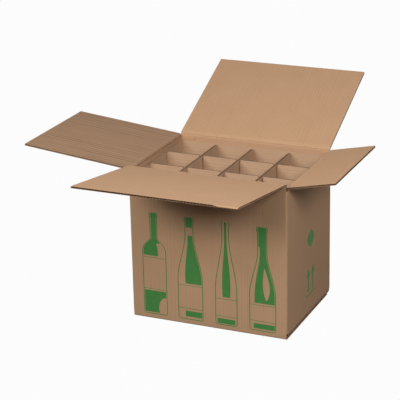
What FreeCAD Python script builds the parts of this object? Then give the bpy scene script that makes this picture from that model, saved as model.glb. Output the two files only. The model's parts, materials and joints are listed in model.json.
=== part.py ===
"""Bottle shipping carton of corrugated board with an interlocking divider insert, top flaps open.

Millimetres, +Z up. The origin is on the resting face, under the middle of the carton's walls.
The front wall faces -Y, and the box is four cells wide along X and three cells deep along Y.
"""
import FreeCAD, Part
import math
import os

from FreeCAD import Vector

# Clear space inside the carton
inner_width = 420.0
inner_depth = 315.0
inner_height = 381.0

# Carton board: one fluted sheet between two liners
board = 4.5
inside_bend = 1.0          # inner radius of a fold
layer_gap = 0.3            # air between closed bottom flaps
stack_gap = 0.4            # air between closed top flaps

# Creases that the top flaps turn on
crease_offset = 0.15       # from the wall's outer face out to the fold line
crease_gap = 0.3           # from the fold line to the board on each side

# Flaps
long_flap = 310.0          # front and back flaps, which each cover nearly the whole top
left_flap = 302.0          # the left and right flaps together cover the top once
side_flap_joint = 2.5      # gap between the closed left and right flaps
long_flap_inset = 2.5      # slot beside the front and back flaps at each corner
side_flap_clearance = 1.5  # between a closed side flap and the front and back walls

# How far each flap stands above the horizontal as it lies open, in degrees
front_angle = 8.5
back_angle = 25.0
left_angle = 6.0
right_angle = 12.0

# Glue tab, part of the left wall, pressed thin and glued inside the back wall
tab_width = 37.0
tab_thickness = 2.5
tab_drop = 5.0             # from the side crease down to the tab's top edge
tab_foot = 8.0             # from the carton's floor up to the tab's lower edge

# Insert board: liner and dividers
insert_board = 4.0
insert_height = 372.5
insert_clearance = 0.5     # between the liner and the carton's walls
insert_lift = 0.2          # between the insert and the carton's floor
liner_joint = 2.0          # gap where the liner's two ends meet

# Dividers
columns = 4
rows = 3
divider_end_clearance = 0.5
slot_clearance = 0.5       # each side of the board that sits in a slot
slot_over = 1.0            # how far a slot runs past half height
slot_mouth = 3.0           # bevel at a slot's open end
divider_corner = 5.0       # bevel at a divider's top corners

# Worked out from the sizes above
width = inner_width + 2 * board
depth = inner_depth + 2 * board
front_layer = 0.0
back_layer = front_layer + board + layer_gap
side_layer = back_layer + board + layer_gap
floor_level = side_layer + board
wall_foot = floor_level + inside_bend + 0.5
side_crease = floor_level + inner_height + board + crease_offset
back_crease = side_crease + board + stack_gap
front_crease = back_crease + board + stack_gap
right_flap = width + 2 * crease_offset - left_flap - side_flap_joint
long_flap_half = width / 2 - long_flap_inset
side_flap_half = depth / 2 - board - side_flap_clearance
wall_shoulder = side_crease - crease_gap - board

insert_foot = floor_level + insert_lift
insert_top = insert_foot + insert_height
liner_width = inner_width - 2 * insert_clearance
liner_depth = inner_depth - tab_thickness - 2 * insert_clearance
insert_middle = -tab_thickness / 2
cells_width = liner_width - 2 * insert_board
cells_depth = liner_depth - 2 * insert_board
column_pitch = (cells_width + insert_board) / columns
row_pitch = (cells_depth + insert_board) / rows

AXIS_X = Vector(1, 0, 0)
AXIS_Z = Vector(0, 0, 1)


def block(low, high):
    """A box from its low corner to its high corner."""
    size = [b - a for a, b in zip(low, high)]
    return Part.makeBox(*size, Vector(*low))


def prism(points, along):
    """A straight solid whose end face is a polygon."""
    face = Part.Face(Part.makePolygon(points + points[:1]))
    return face.extrude(along)


def rounded_block(size_x, size_y, radius, low_z, high_z):
    """An upright block centred on the Z axis, with rounded upright edges."""
    solid = block((-size_x / 2, -size_y / 2, low_z), (size_x / 2, size_y / 2, high_z))
    upright = [e for e in solid.Edges if abs(e.tangentAt(e.FirstParameter).z) > 0.9]
    return solid.makeFillet(radius, upright)


def sleeve(size_x, size_y, sheet, low_z, high_z):
    """Four walls folded from one sheet, with rounded folds at the corners."""
    outside = rounded_block(size_x, size_y, sheet + inside_bend, low_z, high_z)
    inside = rounded_block(size_x - 2 * sheet, size_y - 2 * sheet, inside_bend, low_z, high_z)
    return outside.cut(inside)


def placed(shape, side):
    """Turns a shape made for the front wall, with its outer face on y = 0, to another wall."""
    turn, reach = {
        "front": (0, depth / 2),
        "right": (90, width / 2),
        "back": (180, depth / 2),
        "left": (270, width / 2),
    }[side]
    moved = shape.copy()
    moved.translate(Vector(0, -reach, 0))
    moved.rotate(Vector(0, 0, 0), AXIS_Z, turn)
    return moved


def bottom_fold(half, level, length):
    """A wall's foot and the bottom flap that turns inwards from it at the given level."""
    outer = board + inside_bend
    low, top = level, level + board

    def point(y, z):
        return Vector(-half, y, z)

    def bend(radius):
        """The middle of the quarter turn between the wall and the flap."""
        middle = radius * (1 - math.sqrt(0.5))
        return point(outer - radius + middle, top + inside_bend - radius + middle)

    edges = [
        Part.LineSegment(point(0, wall_foot), point(0, low + outer)),
        Part.Arc(point(0, low + outer), bend(outer), point(outer, low)),
        Part.LineSegment(point(outer, low), point(length, low)),
        Part.LineSegment(point(length, low), point(length, top)),
        Part.LineSegment(point(length, top), point(outer, top)),
        Part.Arc(point(outer, top), bend(inside_bend), point(board, top + inside_bend)),
        Part.LineSegment(point(board, top + inside_bend), point(board, wall_foot)),
        Part.LineSegment(point(board, wall_foot), point(0, wall_foot)),
    ]
    outline = Part.Wire([e.toShape() for e in edges])
    return Part.Face(outline).extrude(Vector(2 * half, 0, 0))


def wall_head(half, crease):
    """A wall's top strip, which ends in the bevel of the crease."""
    shoulder = crease - crease_gap - board
    points = [
        Vector(-half, 0, wall_shoulder),
        Vector(-half, 0, crease - crease_gap),
        Vector(-half, board, shoulder),
        Vector(-half, board, wall_shoulder),
    ]
    if shoulder <= wall_shoulder:
        points.pop()
    return prism(points, Vector(2 * half, 0, 0))


def glue_tab():
    """The lap of the left wall that is glued to the back wall's inner face."""
    inner_left = -width / 2 + board
    inner_back = depth / 2 - board
    return block(
        (inner_left - 0.5, inner_back - tab_thickness, floor_level + tab_foot),
        (inner_left + tab_width, inner_back + 0.5, side_crease - tab_drop),
    )


def carton():
    """Walls, glue tab and closed bottom flaps, folded from one sheet."""
    body = sleeve(width, depth, board, wall_foot, wall_shoulder)
    pieces = [
        placed(bottom_fold(long_flap_half, front_layer, long_flap), "front"),
        placed(bottom_fold(long_flap_half, back_layer, long_flap), "back"),
        placed(bottom_fold(side_flap_half, side_layer, left_flap), "left"),
        placed(bottom_fold(side_flap_half, side_layer, right_flap), "right"),
        placed(wall_head(long_flap_half, front_crease), "front"),
        placed(wall_head(long_flap_half, back_crease), "back"),
        placed(wall_head(side_flap_half, side_crease), "left"),
        placed(wall_head(side_flap_half, side_crease), "right"),
        glue_tab(),
    ]
    return body.fuse(pieces).removeSplitter()


def flap(side, half, crease, length, angle):
    """A top flap, bevelled at its crease and raised to the angle at which it lies open."""
    low = crease + crease_offset
    points = [
        Vector(-half, -crease_offset - crease_gap, low),
        Vector(-half, -crease_offset - length, low),
        Vector(-half, -crease_offset - length, low + board),
        Vector(-half, -crease_offset - crease_gap - board, low + board),
    ]
    sheet = prism(points, Vector(2 * half, 0, 0))
    sheet.rotate(Vector(0, -crease_offset, crease), AXIS_X, -angle)
    return placed(sheet, side)


def liner():
    """A strip folded into a loose ring that stands between the dividers and the walls."""
    ring = sleeve(liner_width, liner_depth, insert_board, insert_foot, insert_top)
    joint = block(
        (-liner_joint / 2, -liner_depth / 2 - 1, insert_foot - 1),
        (liner_joint / 2, -liner_depth / 2 + insert_board + 1, insert_top + 1),
    )
    ring = ring.cut(joint)
    ring.translate(Vector(0, insert_middle, 0))
    return ring


def slot(position, opens_down):
    """The space that half of the crossing divider takes, widened at its open end."""
    half = insert_board / 2 + slot_clearance
    middle = insert_height / 2
    end, deep = (0.0, middle + slot_over) if opens_down else (insert_height, middle - slot_over)
    into = 1 if opens_down else -1
    outline = [
        (position - half - slot_mouth, end - into),
        (position - half - slot_mouth, end),
        (position - half, end + into * 2 * slot_mouth),
        (position - half, deep),
        (position + half, deep),
        (position + half, end + into * 2 * slot_mouth),
        (position + half + slot_mouth, end),
        (position + half + slot_mouth, end - into),
    ]
    points = [Vector(x, -insert_board, z) for x, z in outline]
    return prism(points, Vector(0, 2 * insert_board, 0))


def divider(length, crossings, opens_down):
    """One slotted divider along X, centred, standing on z = 0."""
    half = length / 2
    top = insert_height
    outline = [
        (-half, 0),
        (half, 0),
        (half, top - divider_corner),
        (half - divider_corner, top),
        (-half + divider_corner, top),
        (-half, top - divider_corner),
    ]
    points = [Vector(x, -insert_board / 2, z) for x, z in outline]
    sheet = prism(points, Vector(0, insert_board, 0))
    return sheet.cut([slot(x, opens_down) for x in crossings])


def centred(count, pitch):
    """Positions of the boards between that many cells, about the middle."""
    return [(i - (count - 2) / 2) * pitch for i in range(count - 1)]


def long_divider(row):
    """A divider along the box's width, with its slots open at the top."""
    shape = divider(cells_width - 2 * divider_end_clearance, centred(columns, column_pitch), False)
    shape.translate(Vector(0, insert_middle + centred(rows, row_pitch)[row], insert_foot))
    return shape


def cross_divider(column):
    """A divider along the box's depth, with its slots open at the bottom."""
    shape = divider(cells_depth - 2 * divider_end_clearance, centred(rows, row_pitch), True)
    shape.rotate(Vector(0, 0, 0), AXIS_Z, 90)
    shape.translate(Vector(centred(columns, column_pitch)[column], insert_middle, insert_foot))
    return shape


def main():
    os.makedirs("parts", exist_ok=True)
    nodes = {
        "carton": carton(),
        "front_flap": flap("front", long_flap_half, front_crease, long_flap, front_angle),
        "back_flap": flap("back", long_flap_half, back_crease, long_flap, back_angle),
        "left_flap": flap("left", side_flap_half, side_crease, left_flap, left_angle),
        "right_flap": flap("right", side_flap_half, side_crease, right_flap, right_angle),
        "liner": liner(),
    }
    for row in range(rows - 1):
        nodes[f"long_divider_{row + 1}"] = long_divider(row)
    for column in range(columns - 1):
        nodes[f"cross_divider_{column + 1}"] = cross_divider(column)
    for name, shape in nodes.items():
        shape.exportStep(os.path.join("parts", name + ".step"))
        box = shape.BoundBox
        print(name, shape.isValid(), len(shape.Solids), round(shape.Volume / 1000, 1), "cm3",
              [round(v, 2) for v in (box.XMin, box.YMin, box.ZMin, box.XMax, box.YMax, box.ZMax)])


main()
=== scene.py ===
import json
import math

import bmesh
import bpy
from mathutils import Matrix, Vector


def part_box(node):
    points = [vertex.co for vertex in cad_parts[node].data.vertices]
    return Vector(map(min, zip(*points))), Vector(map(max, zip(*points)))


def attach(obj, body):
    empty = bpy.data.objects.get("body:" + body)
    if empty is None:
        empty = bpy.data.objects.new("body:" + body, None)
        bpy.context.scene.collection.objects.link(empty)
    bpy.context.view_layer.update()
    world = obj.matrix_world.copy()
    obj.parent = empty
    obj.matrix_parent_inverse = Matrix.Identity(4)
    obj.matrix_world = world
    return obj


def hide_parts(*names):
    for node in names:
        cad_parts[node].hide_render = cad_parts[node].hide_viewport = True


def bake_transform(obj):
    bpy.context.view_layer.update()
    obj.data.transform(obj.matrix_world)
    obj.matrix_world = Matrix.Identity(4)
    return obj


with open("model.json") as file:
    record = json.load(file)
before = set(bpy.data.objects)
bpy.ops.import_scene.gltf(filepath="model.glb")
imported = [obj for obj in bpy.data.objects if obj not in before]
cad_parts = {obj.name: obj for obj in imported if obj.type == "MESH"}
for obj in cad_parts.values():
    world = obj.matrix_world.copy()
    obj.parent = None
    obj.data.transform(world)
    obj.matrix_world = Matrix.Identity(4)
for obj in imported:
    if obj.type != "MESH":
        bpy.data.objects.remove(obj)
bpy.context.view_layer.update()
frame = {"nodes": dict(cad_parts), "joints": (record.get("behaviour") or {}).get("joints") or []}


# The carton's walls and closed bottom. One sheet of brown kraft board is scored, folded round the
# four sides, and closed by a lap glued inside the back wall. At the bottom its flaps fold inwards
# in three layers: left and right on top, then the back one, and the front one underneath.
mm = 0.001
board = 4.5 * mm
inside_bend = 1.0 * mm
outside_bend = board + inside_bend
layer_gap = 0.3 * mm
crease_gap = 0.3 * mm
liner_paper = 0.45 * mm
flute_paper = 0.3 * mm
flute_pitch = 8.4 * mm
flute_steps = 12
score_line = 5.2 * mm

carton_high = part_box("carton")[1]
reach_x, reach_y = carton_high[0], carton_high[1]
wall_reach = {"front": reach_y, "back": reach_y, "left": reach_x, "right": reach_x}
joints = {joint["child"]: joint for joint in frame["joints"]}
crease_height = {side: joints[side + "_flap"]["pos_m"][2] for side in wall_reach}
wall_shoulder = crease_height["left"] - crease_gap - board
floor_level = 3 * board + 2 * layer_gap
wall_foot = floor_level + inside_bend + 0.5 * mm

long_flap = 310.0 * mm
flap_length = {"front": long_flap, "back": long_flap, "left": 302.0 * mm, "right": 124.8 * mm}
long_half = reach_x - 2.5 * mm
side_half = reach_y - board - 1.5 * mm
flap_half = {"front": long_half, "back": long_half, "left": side_half, "right": side_half}

tab_width = 37.0 * mm
tab_thickness = 2.5 * mm
tab_drop = 5.0 * mm
tab_foot = 8.0 * mm

OUTWARD = {
    "front": Vector((0, -1, 0)),
    "right": Vector((1, 0, 0)),
    "back": Vector((0, 1, 0)),
    "left": Vector((-1, 0, 0)),
}
UP = Vector((0, 0, 1))


class Socket:
    """A node's output, on which sums of numbers are written as Python expressions."""

    def __init__(self, finish, socket):
        self.finish = finish
        self.socket = socket

    def sum(self, operation, *values):
        """One step of the sum, as a math node."""
        return self.finish.node("ShaderNodeMath", {"operation": operation}, dict(enumerate(values)))

    def __add__(self, other):
        return self.sum("ADD", self, other)

    def __radd__(self, other):
        return self.sum("ADD", other, self)

    def __sub__(self, other):
        return self.sum("SUBTRACT", self, other)

    def __rsub__(self, other):
        return self.sum("SUBTRACT", other, self)

    def __mul__(self, other):
        return self.sum("MULTIPLY", self, other)

    def __rmul__(self, other):
        return self.sum("MULTIPLY", other, self)

    def sine(self):
        return self.sum("SINE", self)

    def size(self):
        return self.sum("ABSOLUTE", self)


class Finish:
    """A material or a world that is put together node by node."""

    def __init__(self, owner):
        self.owner = owner
        self.owner.use_nodes = True
        self.tree = self.owner.node_tree
        self.tree.nodes.clear()

    def node(self, kind, settings, inputs, output=0):
        """Adds a node. Its settings are set first, then its sockets' values or links."""
        node = self.tree.nodes.new(kind)
        for name, value in settings.items():
            if name == "stops":
                self.set_stops(node.color_ramp, value)
            else:
                setattr(node, name, value)
        for name, value in inputs.items():
            if isinstance(value, Socket):
                self.tree.links.new(value.socket, node.inputs[name])
            else:
                node.inputs[name].default_value = value
        return Socket(self, node.outputs[output]) if node.outputs else None

    def set_stops(self, ramp, stops):
        """Gives a colour ramp its stops, each a position and a colour."""
        while len(ramp.elements) > 1:
            ramp.elements.remove(ramp.elements[-1])
        ramp.elements[0].position, ramp.elements[0].color = stops[0]
        for position, color in stops[1:]:
            ramp.elements.new(position).color = color

    def place(self, u_scale, v_scale, w_scale):
        """The point's place in its sheet of board, stretched for a texture."""
        sheet = self.node("ShaderNodeAttribute", {"attribute_name": "sheet"}, {}, "Vector")
        scale = (u_scale, v_scale, w_scale)
        return self.node("ShaderNodeVectorMath", {"operation": "MULTIPLY"}, {0: sheet, 1: scale})

    def noise(self, vector, detail, roughness, scale=1.0):
        """Even noise about zero, at one cell to each unit of the vector unless a scale is given."""
        inputs = {"Vector": vector, "Scale": scale, "Detail": detail, "Roughness": roughness}
        return self.node("ShaderNodeTexNoise", {"noise_dimensions": "3D"}, inputs, "Fac") - 0.5

    def part(self, vector, axis):
        """One of a vector's three numbers."""
        return self.node("ShaderNodeSeparateXYZ", {}, {"Vector": vector}, axis)

    def mix(self, factor, first, second):
        """Two colours mixed, each a tuple or a socket."""
        colors = [value if isinstance(value, Socket) else (*value, 1.0) for value in (first, second)]
        inputs = {0: factor, 6: colors[0], 7: colors[1]}
        return self.node("ShaderNodeMix", {"data_type": "RGBA"}, inputs, 2)

    def straight_ray(self):
        """One for rays from the camera and off shiny or through clear surfaces, and zero for others."""
        kinds = ("Is Camera Ray", "Is Glossy Ray", "Is Transmission Ray")
        camera_ray, glossy, clear = [self.node("ShaderNodeLightPath", {}, {}, kind) for kind in kinds]
        return camera_ray + glossy + clear

    def surface(self, inputs):
        """Ends the material in one Principled shader."""
        shader = self.node("ShaderNodeBsdfPrincipled", {}, inputs)
        self.node("ShaderNodeOutputMaterial", {}, {"Surface": shader})
        return self.owner


def paper(name, color, pale, dark, pitch, line_strength, crease_highlight=0.0):
    """Brown board paper: streaks of fibre, specks, a painted highlight on each score line of a crease,
    and lines of the flutes behind it.
    """
    finish = Finish(bpy.data.materials.new(name))
    apart = 400
    clouds = finish.noise(finish.place(14, 14, apart), 3.0, 0.55)
    streaks = finish.noise(finish.place(160, 1500, apart), 3.0, 0.6)
    grain = finish.noise(finish.place(1300, 1900, apart), 2.0, 0.6)
    sway = finish.noise(finish.place(22, 2, apart), 1.0, 0.5)
    patches = finish.noise(finish.place(75, 1.8, apart), 1.0, 0.5)
    specks = finish.noise(finish.place(420, 900, 900), 1.0, 0.5)

    faint = {"Value": patches, "From Min": -0.04, "From Max": 0.14, "To Max": 1.6}
    strength = finish.node("ShaderNodeMapRange", {}, faint)
    across = finish.part(finish.place(math.tau / pitch, 1, 1), "X")
    lines = (across + sway * 3.0).sine() * (0.15 + strength)

    tone = clouds * 0.20 + streaks * 0.45 + grain * 0.5 + lines * line_strength + 0.5
    ramp = {"stops": [(0.1, (*dark, 1)), (0.5, (*color, 1)), (0.92, (*pale, 1))]}
    tint = finish.node("ShaderNodeValToRGB", ramp, {"Fac": tone}, "Color")

    soft = {"interpolation_type": "SMOOTHSTEP"}
    speck_range = {"Value": specks, "From Min": 0.18, "From Max": 0.26, "To Max": 0.35}
    speck_mask = finish.node("ShaderNodeMapRange", soft, speck_range)
    tint = finish.mix(speck_mask, tint, tuple(0.55 * part for part in dark))

    # Painted highlight: the paper turns pale along the score lines either side of a crease, where the
    # rounded board catches the light.
    from_fold = (finish.part(finish.place(1, 1, 1), "Y").size() - score_line).size()
    crease_highlight_range = {"Value": from_fold, "From Max": 1.8 * mm, "To Min": crease_highlight, "To Max": 0.0}
    tint = finish.mix(finish.node("ShaderNodeMapRange", soft, crease_highlight_range), tint, pale)

    height = lines * (1.8 * line_strength) + grain * 0.10 + streaks * 0.12
    relief = {"Strength": 0.35, "Distance": 0.4 * mm, "Height": height}
    bump = finish.node("ShaderNodeBump", {}, relief)
    rough = 0.80 + clouds * 0.15 + grain * 0.10
    look = {"Base Color": tint, "Roughness": rough, "Normal": bump, "Specular IOR Level": 0.3}
    return finish.surface(look)


kraft_liner = paper(
    "kraft_liner",
    color=(0.495, 0.296, 0.168),
    pale=(0.575, 0.364, 0.222),
    dark=(0.355, 0.200, 0.106),
    pitch=flute_pitch,
    line_strength=0.05,
    crease_highlight=0.6,
)
# Painted shade: a darker copy of the liner paper, the same hue at about three quarters of its
# brightness, with stronger flute lines. It is laid on the left flap only.
kraft_washboard = paper(
    "kraft_washboard",
    color=(0.355, 0.214, 0.123),
    pale=(0.500, 0.315, 0.194),
    dark=(0.190, 0.106, 0.056),
    pitch=1.5 * flute_pitch,
    line_strength=0.15,
    crease_highlight=0.6,
)
# Dark paper of the fluted middle. It is also laid on the liners' cut edges as painted shade of the open
# flutes.
kraft_fluting = paper(
    "kraft_fluting",
    color=(0.175, 0.100, 0.054),
    pale=(0.230, 0.136, 0.078),
    dark=(0.120, 0.066, 0.034),
    pitch=flute_pitch,
    line_strength=0.0,
)


class Sheets:
    """The thin papers that a piece of board is glued from, gathered as one mesh.

    A station is a point of the board's outer face with the way into the board, and with its place
    along the sheet: u across the flutes and v along them. Each paper lies between two depths.
    """

    # Paper kinds. The second kind, the dark fluted paper, is also laid on cut edges as painted shade of
    # the open flutes.
    LINER, FLUTING = 0, 1

    def __init__(self):
        self.points = []
        self.places = []
        self.faces = []
        self.papers = []

    def layer(self, columns, near, far, kind, rim=LINER, ring=False):
        """One closed paper over columns of stations, between the depths near(u, v) and far(u, v)."""
        first = len(self.points)
        rows = len(columns[0])
        size = len(columns) * rows
        for depth in (near, far):
            for column in columns:
                for u, v, face, inward in column:
                    w = depth(u, v)
                    self.points.append(face + inward * w)
                    self.places.append((u, v, w))
        spans = len(columns) if ring else len(columns) - 1
        for i in range(spans):
            a, b = first + i * rows, first + (i + 1) % len(columns) * rows
            for j in range(rows - 1):
                self.faces.append((a + j, a + j + 1, b + j + 1, b + j))
                self.faces.append((size + a + j, size + b + j, size + b + j + 1, size + a + j + 1))
        self.papers.extend([kind] * (len(self.faces) - len(self.papers)))
        for i in range(spans):
            a, b = first + i * rows, first + (i + 1) % len(columns) * rows
            for j in (0, rows - 1):
                self.faces.append((a + j, b + j, size + b + j, size + a + j))
        if not ring:
            for a in (first, first + size - rows):
                for j in range(rows - 1):
                    self.faces.append((a + j, a + j + 1, size + a + j + 1, size + a + j))
        self.papers.extend([rim] * (len(self.faces) - len(self.papers)))

    def plate(self, outline, station, near, far, kind, rim=LINER):
        """One flat closed paper with an outline of its own, in places of the sheet."""
        first = len(self.points)
        count = len(outline)
        for depth in (near, far):
            for u, v in outline:
                face, inward = station(u, v)
                self.points.append(face + inward * depth)
                self.places.append((u, v, depth))
        self.faces.append(tuple(range(first, first + count)))
        self.faces.append(tuple(range(first + 2 * count - 1, first + count - 1, -1)))
        for i in range(count):
            a, b = first + i, first + (i + 1) % count
            self.faces.append((a, b, count + b, count + a))
        self.papers.extend([kind] * 2 + [rim] * count)

    def piece(self, name, finishes):
        """The object, with the place in the sheet kept on each point for the finish to read."""
        mesh = bpy.data.meshes.new(name)
        mesh.from_pydata(self.points, [], self.faces)
        sheet = mesh.attributes.new("sheet", "FLOAT_VECTOR", "POINT")
        sheet.data.foreach_set("vector", [part for place in self.places for part in place])
        for finish in finishes:
            mesh.materials.append(finish)
        mesh.polygons.foreach_set("material_index", self.papers)
        mesh.polygons.foreach_set("use_smooth", [True] * len(mesh.polygons))
        solid = bmesh.new()
        solid.from_mesh(mesh)
        bmesh.ops.recalc_face_normals(solid, faces=solid.faces)
        solid.to_mesh(mesh)
        solid.free()
        mesh.set_sharp_from_angle(angle=math.radians(40))
        piece = bpy.data.objects.new(name, mesh)
        bpy.context.collection.objects.link(piece)
        return piece


def steps(low, high, count):
    """Evenly spaced values from low to high, in that many spans."""
    return [low + (high - low) * i / count for i in range(count + 1)]


def flat(depth):
    """The same depth all over a sheet."""
    return lambda u, v: depth


def beside(middle, offset):
    """A depth that far beyond another one."""
    return lambda u, v: middle(u, v) + offset


def wave(pitch, thickness, bond):
    """The depth of the middle of the fluted paper, which touches both liners in turn."""
    reach = thickness / 2 - bond - flute_paper / 2
    return lambda u, v: thickness / 2 + reach * math.sin(math.tau * u / pitch)


def on_wall(side, u, outwards, z):
    """A point u along a wall seen from outside, that far out of its plane, at height z."""
    outward = OUTWARD[side]
    along = UP.cross(outward)
    return along * u + outward * (wall_reach[side] + outwards) + UP * z


def fold_board(sheets, columns_at, half, thickness=flat(board), edge_steps=16):
    """A folded flap of board: two liners with the fluted paper between them, the liners' cut edges
    painted with the dark fluted paper as shade of the open flutes.
    """
    flute = wave(flute_pitch, board, liner_paper)

    def squeezed(u, v):
        return flute(u, v) * thickness(u, v) / board

    liner, fluting_and_edge_shade = Sheets.LINER, Sheets.FLUTING
    broad = columns_at(steps(-half, half, edge_steps))
    fine = columns_at(steps(-half, half, round(2 * half / flute_pitch * flute_steps)))
    # Painted shade: the liners' cut edges take the dark fluted paper.
    sheets.layer(broad, flat(0.0), flat(liner_paper), liner, fluting_and_edge_shade)
    sheets.layer(broad, beside(thickness, -liner_paper), thickness, liner, fluting_and_edge_shade)
    low, high = beside(squeezed, -flute_paper / 2), beside(squeezed, flute_paper / 2)
    sheets.layer(fine, low, high, fluting_and_edge_shade, fluting_and_edge_shade)


def bottom_columns(side, level):
    """Stations down a wall's foot, round the bend and inwards along a bottom flap."""
    straight = wall_foot - level - outside_bend
    bend = outside_bend * math.pi / 2
    turns = steps(0, 1, 8)

    def columns(us):
        made = []
        for u in us:
            column = [(u, wall_foot, on_wall(side, u, 0, wall_foot), -OUTWARD[side])]
            for turn in turns:
                angle = turn * math.pi / 2
                into = outside_bend * (1 - math.cos(angle))
                down = outside_bend * (1 - math.sin(angle))
                inward = -OUTWARD[side] * math.cos(angle) + UP * math.sin(angle)
                place = wall_foot - straight - bend * turn
                column.append((u, place, on_wall(side, u, -into, level + down), inward))
            for reach in (0.5, 1.0):
                into = outside_bend + (flap_length[side] - outside_bend) * reach
                place = wall_foot - straight - bend - (into - outside_bend)
                column.append((u, place, on_wall(side, u, -into, level), UP))
            made.append(column)
        return made

    return columns


def wall_columns():
    """Stations once round the four walls, with rounded corners."""
    made = []
    u = 0.0
    for side in ("front", "right", "back", "left"):
        across = wall_reach["left" if side in ("front", "back") else "front"]
        straight = across - outside_bend
        for at in steps(-straight, straight, 12):
            made.append((u + at + straight, on_wall(side, at, 0, 0), -OUTWARD[side]))
        u += 2 * straight
        along = UP.cross(OUTWARD[side])
        centre = on_wall(side, straight, -outside_bend, 0)
        for turn in steps(0, 1, 8)[1:-1]:
            angle = turn * math.pi / 2
            outward = OUTWARD[side] * math.cos(angle) + along * math.sin(angle)
            made.append((u + outside_bend * angle, centre + outward * outside_bend, -outward))
        u += outside_bend * math.pi / 2
    levels = steps(wall_foot, wall_shoulder, 8)
    return [[(u, z, face + UP * z, inward) for z in levels] for u, face, inward in made]


carton = Sheets()
carton.layer(wall_columns(), flat(0.0), flat(board), Sheets.LINER, ring=True)
layer_step = board + layer_gap
bottom_level = {"front": 0.0, "back": layer_step, "left": 2 * layer_step, "right": 2 * layer_step}
for side, level in bottom_level.items():
    fold_board(carton, bottom_columns(side, level), flap_half[side], edge_steps=4)


def tab_station(u, v):
    """Places on the lap: u in from the left wall's inner face, v up the back wall."""
    left = -wall_reach["left"] + board
    back = wall_reach["back"] - board
    return Vector((left + u, back, v)), Vector((0, -1, 0))


tab_low, tab_high = floor_level + tab_foot, crease_height["left"] - tab_drop
tab_core = tab_thickness - 0.5 * mm
tab_skin = tab_width - 0.4 * mm
tab_outline = [(0, tab_low), (tab_width, tab_low), (tab_width, tab_high), (0, tab_high)]
skin_outline = [(0, tab_low), (tab_skin, tab_low), (tab_skin, tab_high), (0, tab_high)]
carton.plate(tab_outline, tab_station, 0.0, tab_core, Sheets.FLUTING)
carton.plate(skin_outline, tab_station, tab_core, tab_thickness, Sheets.LINER)

carton_board = carton.piece("carton_board", [kraft_liner, kraft_fluting])
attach(carton_board, "box")
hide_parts("carton")


# The four top flaps. Each is the same sheet as the wall below it, so its board runs on over a
# crushed crease and stands open. The outer edges are saw cut and show the flutes between the
# liners, whose own cut edges are painted dark as shade of the open flutes, and the right end of
# the front flap's edge has been pressed flat in handling.
crease_offset = 0.15 * mm
crease_start = 0.5 * mm
crease_run = 5.0 * mm
crease_near = 12.0 * mm
crease_dent = 0.24
crease_dent_width = 2.2 * mm
score_dent = 0.16
score_dent_width = 1.0 * mm
edge_pressed_from = 150.0 * mm
edge_pressed_depth = 5.0 * mm
edge_pressed_run = 12.0 * mm
edge_pressed_to = 0.45


def rest_angle(side):
    """How far an open flap stands above the horizontal. Its upper limit is the turn that closes it."""
    return math.pi - math.radians(joints[side + "_flap"]["range_deg"][1])


def flap_ways(side):
    """The way out along an open flap, and the way into its board."""
    tilt = rest_angle(side)
    outward = OUTWARD[side]
    along = outward * math.cos(tilt) + UP * math.sin(tilt)
    return along, UP * math.cos(tilt) - outward * math.sin(tilt)


def flap_columns(side):
    """Stations up the top strip of a wall, over the crease and out along the open flap."""
    sweep = math.pi / 2 - rest_angle(side)
    height = crease_height[side]
    first = wall_shoulder - height
    radius = math.hypot(crease_offset, crease_start)
    tuck = math.atan2(crease_start, crease_offset)
    outward = OUTWARD[side]
    flap_way, flap_inward = flap_ways(side)

    def columns(us):
        made = []
        for u in us:
            axis = on_wall(side, u, crease_offset, height)
            column = []
            for drop in steps(first, -crease_start, max(6, round(-first / (1.2 * mm)))):
                face = axis - outward * crease_offset + UP * drop
                column.append((u, drop + crease_start - crease_run / 2, face, -outward))
            for turn in steps(0, 1, 10)[1:-1]:
                angle = -tuck + (sweep + 2 * tuck) * turn
                face = axis + (UP * math.sin(angle) - outward * math.cos(angle)) * radius
                lean = sweep * turn
                inward = UP * math.sin(lean) - outward * math.cos(lean)
                column.append((u, crease_run * (turn - 0.5), face, inward))
            length = flap_length[side]
            near = steps(crease_start, crease_near, 12)
            body = steps(crease_near, length - crease_near, 6)[1:]
            rim = [length - part * mm for part in (6, 4, 2, 0)]
            for out in near + body + rim:
                face = axis + flap_inward * crease_offset + flap_way * out
                column.append((u, out - crease_start + crease_run / 2, face, flap_inward))
            made.append(column)
        return made

    return columns


def bell(distance, width):
    """One at no distance, falling softly to zero past the width."""
    return math.exp(-((distance / width) ** 2))


def flap_thickness(side):
    """The board's thickness: dented at the crease and beside it, and pressed flat at a worn edge."""
    end = flap_length[side] - crease_start + crease_run / 2

    def thickness(u, v):
        share = 1 - crease_dent * bell(v, crease_dent_width)
        share -= score_dent * bell(abs(v) - score_line, score_dent_width)
        if side == "front":
            along = min(1.0, max(0.0, (u - edge_pressed_from) / edge_pressed_run))
            out = min(1.0, max(0.0, 1 - (end - v) / edge_pressed_depth))
            share *= 1 - (1 - edge_pressed_to) * along * out
        return board * share

    return thickness


bend_reach = 2.0 * mm

for side in ("front", "back", "left", "right"):
    flap = Sheets()
    fold_board(flap, flap_columns(side), flap_half[side], flap_thickness(side), edge_steps=72)
    # The left flap takes the darker copy of the paper, which is painted shade.
    face_paper = kraft_washboard if side == "left" else kraft_liner
    flap_board = flap.piece(side + "_flap_board", [face_paper, kraft_fluting])
    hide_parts(side + "_flap")
    axis = on_wall(side, 0, crease_offset, crease_height[side])
    middle = crease_offset + board / 2
    flap_way, flap_inward = flap_ways(side)
    bend_from = tuple(axis - OUTWARD[side] * middle - UP * bend_reach)
    bend_to = tuple(axis + flap_inward * middle + flap_way * bend_reach)
    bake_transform(flap_board)


# The liner, a loose ring of thinner board between the dividers and the walls. Its flutes run
# round the ring, so its top edge shows only the two liners with a groove between them.
insert_board = 4.0 * mm
insert_liner_paper = 0.4 * mm
insert_pitch = 7.4 * mm
liner_joint = 2.0 * mm
insert_low, insert_high = (Vector(corner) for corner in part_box("liner"))

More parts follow.
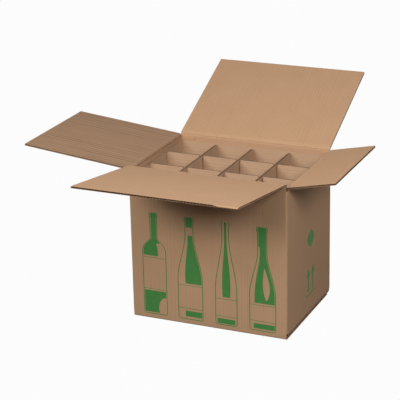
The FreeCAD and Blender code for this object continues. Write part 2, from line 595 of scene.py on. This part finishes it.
insert_liner = paper(
    "insert_liner",
    color=(0.500, 0.318, 0.196),
    pale=(0.590, 0.395, 0.258),
    dark=(0.375, 0.225, 0.130),
    pitch=insert_pitch,
    line_strength=0.10,
)
# Dark paper of the insert's fluted middle. It is also laid on the short dividers' cut edges as painted
# shade.
insert_fluting = paper(
    "insert_fluting",
    color=(0.105, 0.060, 0.034),
    pale=(0.140, 0.084, 0.050),
    dark=(0.075, 0.042, 0.023),
    pitch=insert_pitch,
    line_strength=0.0,
)


def ring_columns(levels):
    """Stations round the liner from one side of its joint to the other, one column to a level."""
    half_x = (insert_high.x - insert_low.x) / 2
    half_y = (insert_high.y - insert_low.y) / 2
    middle_y = (insert_high.y + insert_low.y) / 2
    bend = insert_board + inside_bend
    sides = [
        (Vector((0, -1, 0)), half_y, liner_joint / 2, half_x - bend),
        (Vector((1, 0, 0)), half_x, -half_y + bend, half_y - bend),
        (Vector((0, 1, 0)), half_y, -half_x + bend, half_x - bend),
        (Vector((-1, 0, 0)), half_x, -half_y + bend, half_y - bend),
        (Vector((0, -1, 0)), half_y, -half_x + bend, -liner_joint / 2),
    ]
    route = []
    run = 0.0
    for index, (outward, reach, low, high) in enumerate(sides):
        along = UP.cross(outward)
        for at in steps(low, high, 4):
            route.append((run + at - low, outward * reach + along * at, -outward))
        run += high - low
        if index == len(sides) - 1:
            break
        for turn in steps(0, 1, 6)[1:-1]:
            angle = turn * math.pi / 2
            way = outward * math.cos(angle) + along * math.sin(angle)
            centre = outward * (reach - bend) + along * high
            route.append((run + bend * angle, centre + way * bend, -way))
        run += bend * math.pi / 2
    shift = Vector((0, middle_y, 0))
    made = []
    for z in levels:
        made.append([(z, at, face + shift + UP * z, inward) for at, face, inward in route])
    return made


def flute_depths():
    """Where the fluted paper of insert board begins and ends."""
    flute = wave(insert_pitch, insert_board, insert_liner_paper)
    return beside(flute, -flute_paper / 2), beside(flute, flute_paper / 2)


insert_rise = insert_high.z - insert_low.z
inner_face = insert_board - insert_liner_paper
flute_rows = round(insert_rise / insert_pitch * flute_steps)
ring_broad = ring_columns(steps(insert_low.z, insert_high.z, 2))
ring_fine = ring_columns(steps(insert_low.z, insert_high.z, flute_rows))
ring = Sheets()
ring.layer(ring_broad, flat(0.0), flat(insert_liner_paper), Sheets.LINER)
ring.layer(ring_broad, flat(inner_face), flat(insert_board), Sheets.LINER)
ring.layer(ring_fine, *flute_depths(), Sheets.FLUTING, Sheets.FLUTING)
liner_board = ring.piece("liner_board", [insert_liner, insert_fluting])
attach(liner_board, "box")
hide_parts("liner")


# The dividers. Two long ones cross three short ones, each slotted to half its height, and they
# slide together into twelve cells. The short ones' flutes stand upright and show as dark mouths
# along their tops, and the cut edges of their liners, slots included, are painted dark as shade.
# The long ones' flutes lie level, so their top edges look closed.
slot_half = insert_board / 2 + 2.3 * mm
slot_over = 1.0 * mm
slot_mouth = 3.0 * mm
divider_corner = 5.0 * mm
paper_gap = 0.05 * mm


def divider_outline(half, crossings, opens_down):
    """A divider's outline in (along, up), with its slots and bevelled top corners."""
    middle = insert_rise / 2
    foot = [(-half, 0.0)]
    top = [(half, insert_rise - divider_corner), (half - divider_corner, insert_rise)]
    edge = foot if opens_down else top
    end = 0.0 if opens_down else insert_rise
    mouth = 2 * slot_mouth if opens_down else insert_rise - 2 * slot_mouth
    deep = middle + slot_over if opens_down else middle - slot_over
    for at in sorted(crossings, reverse=not opens_down):
        way = -1 if opens_down else 1
        for side in (way, -way):
            corner = [(at + side * (slot_half + slot_mouth), end), (at + side * slot_half, mouth)]
            corner.append((at + side * slot_half, deep))
            edge.extend(corner if side == way else corner[::-1])
    foot.append((half, 0.0))
    top.extend([(-half + divider_corner, insert_rise), (-half, insert_rise - divider_corner)])
    return foot + top


def spans_between(half, crossings):
    """The stretches along a divider between its slots."""
    cuts = [-half] + [at + side * slot_half for at in crossings for side in (-1, 1)] + [half]
    return list(zip(cuts[::2], cuts[1::2]))


def upright_flutes(sheets, station, half, crossings):
    """Fluted paper with upright flutes: full height between the slots, and above them."""
    middle = insert_rise / 2 + slot_over
    stretches = [(low, high, 0.0) for low, high in spans_between(half, crossings)]
    stretches += [(at - slot_half, at + slot_half, middle) for at in crossings]
    for low, high, foot in stretches:
        columns = []
        count = max(2, round((high - low) / insert_pitch * flute_steps))
        for u in steps(low + paper_gap, high - paper_gap, count):
            top = insert_rise - max(0.0, abs(u) - half + divider_corner)
            slant = 0.0
            for at in crossings:
                slant = max(slant, 2 * (slot_half + slot_mouth - abs(u - at)))
            bottom = max(foot, slant if foot == 0.0 else 0.0)
            columns.append([(u, v, *station(u, v)) for v in (bottom, top)])
        sheets.layer(columns, *flute_depths(), Sheets.FLUTING, Sheets.FLUTING)


def level_flutes(sheets, station, half, crossings):
    """Fluted paper with level flutes: whole below the slots, and in stretches between them."""
    middle = insert_rise / 2 - slot_over
    stretches = [(0.0, middle - paper_gap, -half, half)]
    stretches += [(middle, insert_rise, low, high) for low, high in spans_between(half, crossings)]
    for low, high, start, stop in stretches:
        columns = []
        for up in steps(low, high, round((high - low) / insert_pitch * flute_steps)):
            corner = max(0.0, up - insert_rise + divider_corner)
            mouth = max(0.0, (up - insert_rise + 2 * slot_mouth) / 2)
            left = start + (corner if start == -half else mouth)
            right = stop - (corner if stop == half else mouth)
            columns.append([(up, at, *station(at, up)) for at in (left, right)])
        sheets.layer(columns, *flute_depths(), Sheets.FLUTING, Sheets.FLUTING)


def divider(node, along, crossings, opens_down):
    """One divider in the place of its node, made of two liners and the fluted paper between.

    Where the slots open at the top the flutes lie level, so the sheet's u runs up the board.
    """
    low, high = (Vector(corner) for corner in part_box(node))
    middle = (low + high) / 2
    half = (high - low).dot(along) / 2
    inward = Vector((abs(along.y), abs(along.x), 0))
    origin = Vector((middle.x, middle.y, low.z)) - inward * (insert_board / 2)

    def station(at, up):
        return origin + along * at + UP * up, inward

    sheets = Sheets()
    outline = divider_outline(half, crossings, opens_down)
    # Painted shade: on the short dividers the liners' cut edges, slots included, take the dark fluted
    # paper, so the gaps at the crossings look dark.
    rim = Sheets.FLUTING if opens_down else Sheets.LINER
    for near in (0.0, inner_face):
        first = len(sheets.points)
        sheets.plate(outline, station, near, near + insert_liner_paper, Sheets.LINER, rim)
        if not opens_down:
            sheets.places[first:] = [(v, u, w) for u, v, w in sheets.places[first:]]
    flutes = upright_flutes if opens_down else level_flutes
    flutes(sheets, station, half, crossings)
    piece = sheets.piece(node + "_board", [insert_liner, insert_fluting])
    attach(piece, "box")
    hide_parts(node)


def middles(nodes, axis):
    """The middles of the nodes' boxes along one axis."""
    return [(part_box(node)[0][axis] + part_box(node)[1][axis]) / 2 for node in nodes]


long_dividers = sorted(node for node in frame["nodes"] if node.startswith("long_divider"))
cross_dividers = sorted(node for node in frame["nodes"] if node.startswith("cross_divider"))
insert_middle = (insert_low + insert_high) / 2
row_places = [y - insert_middle.y for y in middles(long_dividers, 1)]
column_places = [x - insert_middle.x for x in middles(cross_dividers, 0)]
for node in long_dividers:
    divider(node, Vector((1, 0, 0)), column_places, False)
for node in cross_dividers:
    divider(node, Vector((0, 1, 0)), row_places, True)


# The print on the front wall: four plain bottle figures in green ink, rolled straight onto the
# kraft, so the flutes show through it as faint bands. Each figure has a thin outline, a filled
# body with bare highlights, and a bare label between two lines.
ink_rise = 0.08 * mm
ink_sink = 0.01 * mm
figure_pitch = 99.0 * mm
figure_height = 282.0 * mm
figure_foot = 14.0 * mm
outline_width = 2.1 * mm
label_line = 1.3 * mm
fill_margin = 1.6 * outline_width
mouth_ring = 1.6 * mm

ink = Finish(bpy.data.materials.new("green_ink"))
ink_place = ink.node("ShaderNodeTexCoord", {}, {}, "Object")
ink_clouds = ink.noise(ink_place, 4.0, 0.6, 90.0)
ink_grain = ink.noise(ink_place, 2.0, 0.6, 1100.0)
ink_bands = (ink.part(ink_place, "X") * (math.tau / flute_pitch)).sine()
thin_ink = ink_clouds * 0.7 + ink_grain * 0.8 + ink_bands * 0.07 + 0.32
thin_ink = ink.node("ShaderNodeClamp", {}, {"Value": thin_ink})
ink_tint = ink.mix(thin_ink * 0.75, (0.030, 0.185, 0.034), (0.130, 0.270, 0.085))
ink_rough = ink_grain * 0.15 + 0.695
green_ink = ink.surface({"Base Color": ink_tint, "Roughness": ink_rough, "Specular IOR Level": 0.3})


def smooth(share):
    """Zero to one with a soft start and end."""
    share = min(1.0, max(0.0, share))
    return share * share * (3 - 2 * share)


def bottle_profile(body, neck, shoulder_from, shoulder_to, fullness=1.0, corner=7.0 * mm):
    """Half the width of a bottle at each height, with a rounded heel and a ring at the mouth."""

    def half_width(z):
        up = min(1.0, max(0.0, (z - shoulder_from) / (shoulder_to - shoulder_from)))
        half = body + (neck - body) * smooth(up ** fullness)
        if z < corner:
            half -= corner - math.sqrt(corner ** 2 - (corner - z) ** 2)
        if 4 * mm < figure_height - z < 14 * mm:
            half += mouth_ring
        return half

    return half_width


def wall_station(side, middle, foot):
    """Places on a wall's outer face, counted from a print's middle and foot."""
    return lambda x, z: (on_wall(side, middle + x, 0, foot + z), -OUTWARD[side])


def strip(sheets, station, low, high, left, right, count):
    """A printed area from one height to another, between its left and right edges."""
    columns = []
    for z in steps(low, high, count):
        columns.append([(z, x, *station(x, z)) for x in (left(z), right(z))])
    sheets.layer(columns, flat(ink_sink), flat(-ink_rise), Sheets.LINER)


def figure(sheets, middle, half_width, label_edges, fills):
    """A bottle: its outline, the lines round its label, and its filled areas."""
    station = wall_station("front", middle, figure_foot)

    def edge(share, margin):
        """An edge at a share of the bottle's half width, less a margin."""

        def at(z):
            here = share(z) if callable(share) else share
            return here * max(0.0, half_width(z) - margin)

        return at

    for way in (-1, 1):
        outer, inner = edge(way, 0.0), edge(way, outline_width)
        strip(sheets, station, outline_width, figure_height, outer, inner, 120)
    strip(sheets, station, 0.0, outline_width, edge(-1, 0.0), edge(1, 0.0), 3)
    for low in label_edges:
        left, right = edge(-1, outline_width), edge(1, outline_width)
        strip(sheets, station, low, low + label_line, left, right, 1)
    for low, high, left, right in fills:
        left, right = edge(left, fill_margin), edge(right, fill_margin)
        strip(sheets, station, low, high, left, right, 60)


def bow(low, high, base, depth):
    """An edge that stands at base and bows aside by depth between two heights."""

    def edge(z):
        up = min(1.0, max(0.0, (z - low) / (high - low)))
        return base + depth * max(0.0, math.sin(math.pi * up)) ** 0.7

    return edge


straight_bottle = bottle_profile(33.5 * mm, 10.5 * mm, 168 * mm, 212 * mm, 1.8)
sloping_bottle = bottle_profile(35.0 * mm, 12.0 * mm, 108 * mm, 238 * mm)
slender_bottle = bottle_profile(30.5 * mm, 10.0 * mm, 92 * mm, 244 * mm)
sparkling_bottle = bottle_profile(36.0 * mm, 13.5 * mm, 96 * mm, 216 * mm)

print_sheets = Sheets()
figure(print_sheets, -1.5 * figure_pitch, straight_bottle, (70 * mm, 157 * mm), [
    (198 * mm, 281 * mm, -1.0, 1.0),
    (163 * mm, 198 * mm, -1.0, 0.34),
    (48 * mm, 66 * mm, -1.0, 1.0),
    (5 * mm, 48 * mm, -1.0, bow(-9 * mm, 48 * mm, 0.75, -0.45)),
])
figure(print_sheets, -0.5 * figure_pitch, sloping_bottle, (30 * mm, 94 * mm), [
    (254 * mm, 281 * mm, -1.0, 1.0),
    (100 * mm, 232 * mm, bow(100 * mm, 232 * mm, -0.40, -0.06), 1.0),
    (8 * mm, 24 * mm, -0.45, 1.0),
])
figure(print_sheets, 0.5 * figure_pitch, slender_bottle, (24 * mm, 72 * mm), [
    (78 * mm, 281 * mm, bow(78 * mm, 281 * mm, -0.34, -0.10), bow(78 * mm, 281 * mm, 0.40, 0.10)),
    (4 * mm, 18 * mm, -0.9, 0.9),
])
figure(print_sheets, 1.5 * figure_pitch, sparkling_bottle, (26 * mm, 70 * mm), [
    (228 * mm, 281 * mm, -1.0, 1.0),
    (76 * mm, 228 * mm, -0.66, bow(84 * mm, 172 * mm, 0.33, -0.30)),
    (76 * mm, 228 * mm, bow(84 * mm, 172 * mm, 0.33, 0.32), 1.0),
    (6 * mm, 20 * mm, -0.75, 1.0),
])
front_print = print_sheets.piece("front_print", [green_ink])
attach(front_print, "box")


# The print on the right wall, rolled straight onto the kraft in the same green ink. Two plain
# upward arrows stand on a bar near the wall's foot, with a leaf above them.
print_middle = 8.0 * mm
arrow_foot = 60.0 * mm
arrow_height = 76.0 * mm
arrow_spread = 17.0 * mm
arrow_head_height = 22.0 * mm
arrow_head_half = 13.0 * mm
arrow_stem_half = 4.5 * mm
arrow_gap = 9.0 * mm
bar_height = 4.0 * mm
bar_half = 34.0 * mm
leaf_foot = 190.0 * mm
leaf_height = 48.0 * mm
leaf_half = 24.0 * mm
leaf_rib_half = 0.7 * mm
point_half = 0.01 * mm


def sloping(low, high, start, end):
    """A straight edge from one place to another between two heights."""
    return lambda z: start + (end - start) * (z - low) / (high - low)


side_sheets = Sheets()
station = wall_station("right", print_middle, 0)
bar_top = arrow_foot + bar_height
bar_left = sloping(arrow_foot, bar_top, -bar_half, -bar_half)
bar_right = sloping(arrow_foot, bar_top, bar_half, bar_half)
strip(side_sheets, station, arrow_foot, bar_top, bar_left, bar_right, 1)
stem_foot = arrow_foot + arrow_gap
tip = arrow_foot + arrow_height
neck = tip - arrow_head_height
for way in (-1, 1):
    middle = way * arrow_spread
    stem_left = sloping(stem_foot, neck, middle - arrow_stem_half, middle - arrow_stem_half)
    stem_right = sloping(stem_foot, neck, middle + arrow_stem_half, middle + arrow_stem_half)
    strip(side_sheets, station, stem_foot, neck, stem_left, stem_right, 1)
    head_left = sloping(neck, tip, middle - arrow_head_half, middle - point_half)
    head_right = sloping(neck, tip, middle + arrow_head_half, middle + point_half)
    strip(side_sheets, station, neck, tip, head_left, head_right, 6)


def leaf_edge(way, from_rib):
    """One side of the leaf, or its rib where from_rib is zero."""

    def at(z):
        up = min(1.0, max(0.0, (z - leaf_foot) / leaf_height))
        return way * (leaf_rib_half + from_rib * (leaf_half * math.sin(math.pi * up) + point_half))

    return at


for way in (-1, 1):
    rib, rim = leaf_edge(way, 0), leaf_edge(way, 1)
    strip(side_sheets, station, leaf_foot, leaf_foot + leaf_height, rib, rim, 24)
side_print = side_sheets.piece("side_print", [green_ink])
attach(side_print, "box")


# The place it is photographed in: a pale floor that fades into a white background, and a camera
# that looks down from the right. Soft lamps stand at both sides and in front, high enough for the
# front flap to shade the wall below it, with a weak one overhead and one behind.
floor_size = 30.0
floor_level_z = -0.2 * mm
floor_white = 0.975
fill_strength = 0.03

floor_finish = Finish(bpy.data.materials.new("pale_floor"))
matt = floor_finish.node("ShaderNodeBsdfDiffuse", {}, {"Color": (0.10, 0.10, 0.10, 1.0)})
white = floor_finish.node("ShaderNodeEmission", {}, {"Color": (1.0, 1.0, 1.0, 1.0), "Strength": 1.0})
whiteness = floor_finish.straight_ray() * floor_white
floor_mix = floor_finish.node("ShaderNodeMixShader", {}, {0: whiteness, 1: matt, 2: white})
floor_finish.node("ShaderNodeOutputMaterial", {}, {"Surface": floor_mix})

floor_mesh = bpy.data.meshes.new("floor")
half_floor = floor_size / 2
corner_signs = ((-1, -1), (1, -1), (1, 1), (-1, 1))
floor_corners = [(x * half_floor, y * half_floor, floor_level_z) for x, y in corner_signs]
floor_mesh.from_pydata(floor_corners, [], [(0, 1, 2, 3)])
floor_mesh.materials.append(floor_finish.owner)
floor = bpy.data.objects.new("floor", floor_mesh)
bpy.context.collection.objects.link(floor)

sky = Finish(bpy.data.worlds.new("studio"))
plain = {"Color": (1.0, 1.0, 1.0, 1.0)}
fill_sky = sky.node("ShaderNodeBackground", {}, {**plain, "Strength": fill_strength})
white_sky = sky.node("ShaderNodeBackground", {}, {**plain, "Strength": 1.0})
sky_mix = sky.node("ShaderNodeMixShader", {}, {0: sky.straight_ray(), 1: fill_sky, 2: white_sky})
sky.node("ShaderNodeOutputWorld", {}, {"Surface": sky_mix})
bpy.context.scene.world = sky.owner


def lamp(name, place, aim, size, power):
    """A square soft box at a place, turned towards its aim."""
    light = bpy.data.lights.new(name, "AREA")
    light.shape = "SQUARE"
    light.size = size
    light.energy = power
    stand = bpy.data.objects.new(name, light)
    stand.location = place
    stand.rotation_euler = (Vector(aim) - Vector(place)).to_track_quat("-Z", "Y").to_euler()
    bpy.context.collection.objects.link(stand)


lamp("overhead_box", (0.30, -0.75, 1.85), (0.0, 0.0, 0.3), 0.9, 9.5)
lamp("right_box", (1.86, -1.56, 1.85), (0.0, 0.0, 0.3), 0.9, 36.0)
lamp("left_box", (-1.15, -1.89, 1.65), (0.0, 0.0, 0.3), 0.8, 24.0)
lamp("front_box", (-0.5, -2.80, 1.80), (0.0, 0.0, 0.2), 0.6, 25.0)
lamp("back_box", (0.8, 3.0, 0.9), (0.0, 0.0, 0.2), 1.0, 10.0)

camera_turn = math.radians(24.15)
camera_rise = math.radians(19.99)
camera_roll = math.radians(-1.29)
camera_distance = 4048.3 * mm
camera_aim = Vector((-89.5 * mm, 0.0, 281.2 * mm))
focal_pixels = 1550.4
picture_pixels = 400
sensor = 36.0

camera_data = bpy.data.cameras.new("camera")
camera_data.sensor_width = sensor
camera_data.lens = sensor * focal_pixels / picture_pixels
camera = bpy.data.objects.new("camera", camera_data)
bpy.context.collection.objects.link(camera)
level = math.cos(camera_rise)
aside, back = math.sin(camera_turn) * level, -math.cos(camera_turn) * level
backwards = Vector((aside, back, math.sin(camera_rise)))
rightwards = (-backwards).cross(UP).normalized()
upwards = rightwards.cross(-backwards)
rolled_right = rightwards * math.cos(camera_roll) + upwards * math.sin(camera_roll)
rolled_up = upwards * math.cos(camera_roll) - rightwards * math.sin(camera_roll)
turn = Matrix((rolled_right, rolled_up, backwards)).transposed()
camera.matrix_world = Matrix.Translation(camera_aim + backwards * camera_distance) @ turn.to_4x4()
bpy.context.scene.camera = camera
bpy.context.scene.view_settings.view_transform = "Standard"

bpy.context.view_layer.update()
